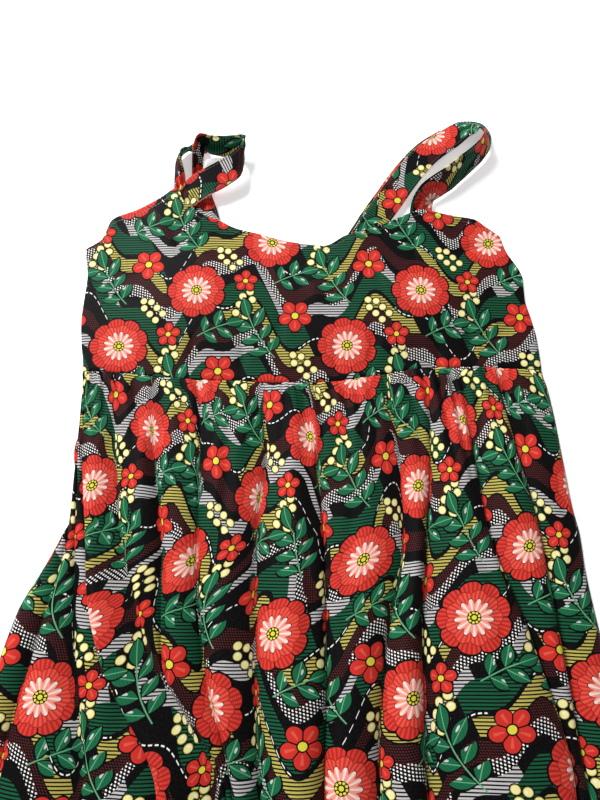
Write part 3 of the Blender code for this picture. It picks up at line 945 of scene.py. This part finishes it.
def off_middle(share):
    """Distance from the middle of each repeat."""
    return abs(share.fraction() - 0.5)


def draw_ground(paint, u, v):
    """Wavy hatched bands and trails of dots behind the flowers."""
    wave = v / BAND_PITCH
    for length, height in BAND_WAVES:
        wave = (u * (math.tau / length)).sine().times_plus(height, wave)
    level = wave.fraction()
    broken = u.times_plus(math.tau / BREAK_WAVE, v * BREAK_SLANT).sine()
    specks = length_of(off_middle((u + v * 0.5) / SPECK_PITCH), off_middle(v / SPECK_PITCH))
    dots = length_of(off_middle(u / DOT_PITCH), off_middle((v + u * 0.35) / DOT_PITCH))
    textures = {
        "lines": (v / HATCH_PITCH).fraction() < 0.58,
        "specks": specks < 0.34,
        "dots": dots < 0.28,
        "dashes": (u / DASH_PITCH).fraction() < 0.6,
    }
    for row in GROUND:
        inside = (level > row.low) & (level < row.high)
        inside = inside & (broken > row.from_break) & (broken < row.to_break)
        paint.over(inside & textures[row.texture], row.colour)


def draw_spray(paint, u, v, spray):
    """Stem with pairs of almond leaves and one at its tip."""
    pairs, pitch, half_length, half_width = spray[3:]
    x, y, _ = repeated(u, v, spray)
    stem = (y * y).times_plus(-5.0, x)
    reach = pitch * (pairs - 1) / 2
    step = ((y + reach) / pitch).nearest().within(0.0, pairs - 1.0)
    along_stem = step.times_plus(-pitch, y + reach)
    side = abs(stem) - half_length * 0.92
    lift = along_stem - half_length * 0.45
    lean = math.radians(38.0)
    along = side.times_plus(math.cos(lean), lift * math.sin(lean))
    off = lift.times_plus(math.cos(lean), side * -math.sin(lean))
    tip_y = y - (reach + half_length * 1.9)

    def all_leaves(length, width):
        return almond(along, off, length, width) | almond(tip_y, stem, length, width)

    paint.over(all_leaves(half_length * 1.12, half_width * 1.32), BLACK)
    twig = (abs(stem) < 0.00042) & (abs(y) < reach + half_length)
    paint.over(twig, PALE_GREEN)
    leaves = all_leaves(half_length, half_width)
    paint.over(leaves, GREEN)
    ribs = leaves & ((abs(off).times_plus(1.2, along) / 0.0026).fraction() < 0.24)
    paint.over(ribs, DEEP_GREEN)
    vein = leaves & ((abs(off) < 0.00032) | (abs(stem) < 0.00032))
    paint.over(vein, PALE_GREEN)
    shine = length_of((off - half_width * 0.42) * 2.6, along - half_length * 0.1)
    paint.over(shine < half_length * 0.26, WHITE, 0.6)


def draw_berries(paint, u, v, berries):
    """Sprig with round berries on both sides."""
    rows, pitch, radius = berries[3:]
    x, y, _ = repeated(u, v, berries)
    reach = pitch * (rows - 1) / 2
    step = ((y + reach) / pitch).nearest().within(0.0, rows - 1.0)
    up = step.times_plus(-pitch, y + reach)
    side = abs(x) - radius * 1.35
    far = length_of(side, up)
    tip = length_of(x, y - (reach + radius * 1.9))
    nearest = far.math("MINIMUM", tip)
    paint.over(nearest < radius * 1.25, BLACK)
    paint.over(nearest < radius, OLIVE)
    paint.over(nearest < radius * 0.84, CREAM)
    shine = length_of(side + radius * 0.25, up - radius * 0.25)
    paint.over(shine < radius * 0.3, WHITE, 0.55)


def draw_blossom(paint, u, v, bloom):
    """Small blossom with five round petals."""
    radius = bloom.radius
    x, y, _ = repeated(u, v, bloom)
    far = length_of(x, y)
    share = wedge_share(y.math("ARCTAN2", x), 5)
    edge = (share * share).times_plus(-0.42 * radius, radius)
    paint.over(far < edge + 0.0012, BLACK)
    petals = (far < edge) & (share * far < far - 0.0007)
    paint.over(petals, RED)
    paint.over(petals & (share < 0.16) & (far > radius * 0.35) & (far < radius * 0.8), CORAL)
    paint.over(far < radius * 0.27, BLACK)
    paint.over(far < radius * 0.2, YELLOW)


def draw_flower(paint, u, v, bloom):
    """Large flower with two rings of petals, stamens and a pale middle."""
    radius = bloom.radius
    x, y, column = repeated(u, v, bloom)
    far = length_of(x, y)
    angle = column.times_plus(0.7, y.math("ARCTAN2", x))
    share = wedge_share(angle, PETALS)
    edge = (share * share * share).times_plus(-0.13 * radius, radius)
    paint.over(far < edge + 0.0013, BLACK)
    outer = (far < edge) & (share * far < far - 0.001)
    paint.over(outer, RED)
    lines = wedge_share(angle, PETALS * 5) > 0.66
    paint.over(outer & lines, DEEP_RED, 0.75)
    tips = wedge_share(angle, PETALS * 5) < 0.34
    paint.over(outer & tips & ((far / 0.0012).fraction() < 0.5), CORAL, 0.7)
    other = wedge_share(angle + math.pi / PETALS, PETALS)
    inner_edge = (other * other).times_plus(-0.12 * radius, 0.76 * radius)
    paint.over(far < inner_edge + 0.0007, DEEP_RED)
    inner = far < inner_edge
    paint.over(inner, CORAL)
    paint.over(inner & (wedge_share(angle, PETALS * 4) > 0.5), RED)
    petals = wedge_share(angle + 0.2, HEART_PETALS)
    heart_edge = (petals * petals).times_plus(-0.16 * radius, 0.52 * radius)
    paint.over(far < heart_edge + 0.0006, MAROON)
    heart = far < heart_edge
    paint.over(heart, PINK)
    paint.over(heart & (petals < 0.34), WHITE, 0.6)
    paint.over(far < 0.19 * radius, BLACK)
    ring = abs(far - 0.135 * radius) / (0.035 * radius)
    paint.over(length_of(wedge_share(angle, STAMENS) * 1.3, ring) < 1.0, YELLOW)
    paint.over(far < 0.065 * radius, YELLOW)


def print_group():
    """The printed pattern, as colours over places in the flat cloth."""
    tree = bpy.data.node_groups.new("floral_print", "ShaderNodeTree")
    tree.interface.new_socket("Place", in_out="INPUT", socket_type="NodeSocketVector")
    tree.interface.new_socket("Colour", in_out="OUTPUT", socket_type="NodeSocketColor")
    entry = tree.nodes.new("NodeGroupInput")
    u, v, _ = parts_of(tree, entry.outputs["Place"])
    paint = Paint(tree, BLACK)
    draw_ground(paint, u, v)
    for berries in BERRIES:
        draw_berries(paint, u, v, berries)
    for spray in SPRAYS:
        draw_spray(paint, u, v, spray)
    for bloom in BLOSSOMS:
        draw_blossom(paint, u, v, bloom)
    draw_flower(paint, u, v, FLOWER)
    leave = tree.nodes.new("NodeGroupOutput")
    tree.links.new(paint.colour, leave.inputs["Colour"])
    return tree


def new_material(name):
    """Material, with its node tree and shader."""
    material = bpy.data.materials.new(name)
    material.use_nodes = True
    tree = material.node_tree
    return material, tree, tree.nodes["Principled BSDF"]


def cloth_material(name, group, shift, look):
    """Printed viscose, with its weave, soft sheen and wear."""
    material, tree, shader = new_material(name)
    flat = tree.nodes.new("ShaderNodeUVMap")
    flat.uv_map = "cloth"
    place = add_node(tree, "VectorMath", {0: flat.outputs[0], 1: (*shift, 0.0)}).outputs[0]
    pattern = tree.nodes.new("ShaderNodeGroup")
    pattern.node_tree = group
    feed(tree, place, pattern.inputs["Place"])
    paint = Paint(tree, pattern.outputs["Colour"])
    wear = noise(tree, place, WEAR_SCALE, 2.0).times_plus(look.wear, look.least_wear)
    paint.over(wear.within(0.0, 1.0), WORN_GREY)
    u, v, _ = parts_of(tree, place)
    weave = (u * THREAD_RATE).sine() * (v * THREAD_RATE).sine()
    relief = weave.times_plus(WEAVE_SHARE, noise(tree, place, CRINKLE_SCALE, 3.0))
    bump = add_node(tree, "Bump", {"Strength": 0.5, "Distance": RELIEF, "Height": relief})
    feed_all(tree, shader, {
        "Base Color": paint.colour,
        "Normal": bump.outputs[0],
        "Roughness": look.roughness,
        "Specular IOR Level": 0.06,
        "Sheen Weight": 0.02,
        "Sheen Roughness": 0.35,
    })
    return material


def cloth_sides(name, group, shift):
    """Materials of a cloth's right side and of its paler reverse."""
    return [cloth_material(f"{name}_{side}", group, shift, look) for side, look in LOOKS.items()]


def thread_material():
    """Dark sewing thread with a fine twist."""
    material, tree, shader = new_material("thread")
    coordinates = tree.nodes.new("ShaderNodeTexCoord")
    paint = Paint(tree, THREAD_COLOUR)
    paint.over(noise(tree, coordinates.outputs["Object"], TWIST_SCALE, 2.0), WORN_GREY)
    feed_all(tree, shader, {"Base Color": paint.colour, "Roughness": 0.5})
    return material


def surface_points(surface, cells):
    """Grid of points on a cloth."""
    return stacked(*surface(*grid(cells)))


def add_cloth(name, slot, *shape, **ways):
    """Shell of cloth in the place of its solid."""
    piece = shell(name + "_cloth", *shape, **ways)
    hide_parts(name)
    return piece


def tucked_cloth():
    """How much cloth each column of the skirt front holds, more in the tucks between folds."""
    _, share = fold_columns()
    near = np.minimum(share, 1.0 - share) / TUCK_REACH
    weight = 1.0 + TUCK_CLOTH * np.exp(-near * near)
    return (weight[:, 1:] + weight[:, :-1]) / 2


def skirt_cut(points, cells, weight=1.0):
    """Places of the skirt's grid in its flat cut, spread by the length of each row."""
    across, down = grid(cells)
    below = SKIRT_LENGTH * down ** ROW_CROWDING
    width = blend(CUT_AT_WAIST, CUT_AT_HEM, below / SKIRT_LENGTH)
    steps = np.linalg.norm(np.diff(points, axis=1), axis=2) * weight
    run = np.concatenate([np.zeros((len(points), 1)), np.cumsum(steps, axis=1)], axis=1)
    share = run / run[:, -1:]
    return stacked((share - 0.5) * width, -below + 0.0 * across)


def build_skirt(group):
    """Front and back of the skirt."""
    looks = cloth_sides("skirt", group, (0.011, 0.043))
    cells = (sum(FOLD_COLUMNS), SKIRT_ROWS)
    points = surface_points(skirt_front_surface, cells)
    cut = skirt_cut(points, cells, tucked_cloth())
    front = add_cloth("skirt_front", "skirt_cloth", points, cut, CLOTH, looks, flip=True)
    points = surface_points(skirt_back_surface, SKIRT_BACK_CELLS)
    cut = skirt_cut(points, SKIRT_BACK_CELLS)
    back = add_cloth("skirt_back", "skirt_cloth", points, cut, CLOTH, looks[::-1], flip=True)
    hem = ((SKIRT_LENGTH - HEM_DEPTH) / SKIRT_LENGTH) ** (1.0 / ROW_CROWDING)
    stitches("hem_stitches", [stitched_line(skirt_front_surface, hem, cells[0] + 1)])


def stitched_line(surface, along, columns):
    """Places and outward ways of a line of stitches across a cloth."""
    rows = np.array([[along - 0.001], [along], [along + 0.001]])
    across = np.linspace(0.0, 1.0, columns)[None, :]
    points = stacked(*surface(across, rows))
    way = normals_of(points, False)
    way = way * np.sign(way[:, :, 2:])
    return (points + way * CLOTH / 2)[1], way[1]


def stitches(name, lines):
    """Short raised threads at even steps along lines on the cloth."""
    corners, faces = [], []
    for points, ways in lines:
        run = run_along(points)
        middle = np.arange(STITCH_PITCH, run[-1] - STITCH_PITCH, STITCH_PITCH)

        def at(values, place):
            return stacked(*(np.interp(place, run, values[:, i]) for i in range(3)))

        ends = (at(points, middle - STITCH_LENGTH / 2), at(points, middle + STITCH_LENGTH / 2))
        way = at(ways, middle)
        side = np.cross(ends[1] - ends[0], way)
        side = side / np.linalg.norm(side, axis=1, keepdims=True) * STITCH_WIDTH / 2
        lift = way * STITCH_WIDTH / 2
        box = [end + a * side + b * lift for end in ends for a, b in SQUARE]
        first = len(corners) + np.arange(len(middle))[:, None, None] * 8
        corners += np.concatenate(box, axis=1).reshape(-1, 3).tolist()
        faces += (first + np.array(BOX_FACES)[None]).reshape(-1, 4).tolist()
    return add_piece(name, new_mesh(name, corners, faces, [THREAD]))


def build_bodice(group):
    """Front and back of the bodice."""
    looks = cloth_sides("bodice", group, (0.028, 0.017))
    points = surface_points(bodice_front_surface, BODICE_CELLS)
    front = add_cloth("bodice_front", "bodice_cloth", points, points[:, :, :2], CLOTH, looks)
    points = surface_points(bodice_back_surface, BODICE_BACK_CELLS)
    back = add_cloth("bodice_back", "bodice_cloth", points, points[:, :, :2], CLOTH, looks[::-1])
    line = stitched_line(bodice_front_surface, NECK_STITCH_UP, NECK_STITCH_COLUMNS)
    stitches("neckline_stitches", [line])


def band_curves(bands, at):
    """Centres and half width vectors of a strap at places counted in bands."""
    keys = list(range(len(bands)))
    x, y, z, heading, rise, flat = (
        curve(keys, [band[i] for band in bands], at) for i in range(len(Band._fields))
    )
    reach = STRAP_WIDTH / 2 * flat
    heading, rise = np.radians(heading), np.radians(rise)
    level = np.cos(rise) * reach
    half = stacked(level * np.cos(heading), level * np.sin(heading), np.sin(rise) * reach)
    return stacked(x, y, z), half, flat


def right_tail_bands():
    """The doubled run under the front of the right strap, a step to its side."""
    bands = []
    for band in RIGHT_STRAP[TAIL_FIRST_BAND:]:
        turn = math.radians(band.heading)
        bands.append(band._replace(
            x=band.x - TAIL_SIDE_STEP * math.cos(turn),
            y=band.y - TAIL_SIDE_STEP * math.sin(turn),
            z=band.z - TAIL_DROP - TAIL_SIDE_STEP * math.tan(math.radians(band.rise)),
        ))
    return bands


def strap_section():
    """Places round a flat tube: share of the half width, and side of the middle."""
    half = STRAP_THICKNESS / STRAP_WIDTH
    flat_part = np.linspace(-1.0 + half, 1.0 - half, STRAP_CELLS_ACROSS + 1)
    turns = np.linspace(math.pi / 2, -math.pi / 2, STRAP_CELLS_ON_EDGE + 1)[1:-1]
    top = [(a, 1.0) for a in flat_part]
    right = [(1.0 - half + half * math.cos(t), math.sin(t)) for t in turns]
    return np.array(top + right + [(-a, -b) for a, b in top + right])


def strap_points(bands, across, side, raised=0.0):
    """Places on a strap at shares of its half width, on either face, with their outward ways."""
    stations = (len(bands) - 1) * STRAP_CELLS_PER_BAND + 1
    centre, half, flat = band_curves(bands, np.linspace(0.0, len(bands) - 1.0, stations))
    up = np.cross(np.gradient(centre, axis=0), half)
    up = up / np.linalg.norm(up, axis=1, keepdims=True)
    padded = STRAP_THICKNESS - STRAP_CLOTH + STRAP_PADDING * (1.0 - across ** 2)
    lift = side * (padded / 2 + raised)
    steps = run_along(centre)
    spare = flat * STRAP_WIDTH * np.sqrt(2.0 * np.maximum(flat ** -2.0 - 1.0, 0.0))
    swing = CRUSH_SHARE * spare / (math.tau * CRUSH_WAVES)
    swing = np.minimum(swing, centre[:, 2] - LOWEST_STRAP)
    crush = swing[:, None] * np.sin(CRUSH_WAVES * math.pi * across + steps[:, None] * CRUSH_RATE)
    points = (
        centre[:, None, :]
        + half[:, None, :] * across[None, :, None]
        + up[:, None, :] * (lift[None, :] + crush)[:, :, None]
    )
    return points, steps, up[:, None, :] * side[None, :, None]


def build_strap(name, bands, materials):
    """Sewn strap: a flat tube of cloth along its bands, and the places of its edge stitches."""
    section = strap_section()
    across, side = section[:, 0], section[:, 1]
    points, steps, _ = strap_points(bands, across, side)
    girth = run_along(across[:, None]) * STRAP_WIDTH / 2
    place = stacked(girth[None, :], steps[:, None])
    ways = {"closed": True, "flip": True}
    piece = add_cloth(name, "strap_cloth", points, place, STRAP_CLOTH, materials, **ways)
    edges, faces = np.array(STRAP_STITCH_PLACES).T
    points, _, ways = strap_points(bands, edges, faces, STRAP_CLOTH / 2)
    return [(points[:, i], ways[:, i]) for i in range(len(edges))]


def build_straps(group):
    """Both straps and the doubled runs below their adjusters."""
    for name, bands, shift in (
        ("strap_left", LEFT_STRAP, (0.02, 0.02)),
        ("strap_left_tail", LEFT_STRAP_TAIL, (0.049, 0.09)),
        ("strap_right", RIGHT_STRAP, (0.062, 0.01)),
        ("strap_right_tail", right_tail_bands(), (0.01, 0.07)),
    ):
        stitches(name + "_stitches", build_strap(name, bands, cloth_sides(name, group, shift)))


def build_floor():
    """Plain pale floor under the dress."""
    material, tree, shader = new_material("floor")
    feed_all(tree, shader, {
        "Base Color": FLOOR_COLOUR,
        "Roughness": 0.9,
        "Specular IOR Level": 0.2,
        "Emission Color": FLOOR_COLOUR,
        "Emission Strength": FLOOR_GLOW,
    })
    corners = [(a * FLOOR_REACH, b * FLOOR_REACH, FLOOR_DROP) for a, b in SQUARE]
    add_thing("floor", new_mesh("floor", corners, [(0, 1, 2, 3)], [material]))


def build_light():
    """Square soft lights pointed at the dress, and a sky that is paler at the horizon."""
    for name, place, aim, size, power in LIGHTS:
        lamp = bpy.data.lights.new(name, "AREA")
        lamp.size = size
        lamp.energy = power
        way = Vector(aim) - Vector(place)
        add_thing(name, lamp, place).rotation_euler = way.to_track_quat("-Z", "Y").to_euler()
    world = bpy.data.worlds.new("studio")
    world.use_nodes = True
    tree = world.node_tree
    direction = tree.nodes.new("ShaderNodeTexCoord")
    _, _, height = parts_of(tree, direction.outputs["Generated"])
    paint = Paint(tree, HORIZON)
    paint.over(height.within(0.0, 1.0).math("POWER", 0.5), ZENITH)
    feed(tree, paint.colour, tree.nodes["Background"].inputs["Color"])
    bpy.context.scene.world = world
    bpy.context.scene.view_settings.view_transform = "Standard"


def build_camera():
    """Camera at the photograph's angle."""
    camera = bpy.data.cameras.new("camera")
    camera.lens = CAMERA_LENS
    camera.clip_start = 0.01
    thing = add_thing("camera", camera, GARMENT_PLACE + Vector(CAMERA_PLACE))
    thing.rotation_euler = (CAMERA_TILT, 0.0, 0.0)
    bpy.context.scene.camera = thing


GARMENT_PLACE = garment_place()
build_camera()
build_light()
build_floor()
floral = print_group()
THREAD = thread_material()
build_bodice(floral)
build_skirt(floral)
build_straps(floral)
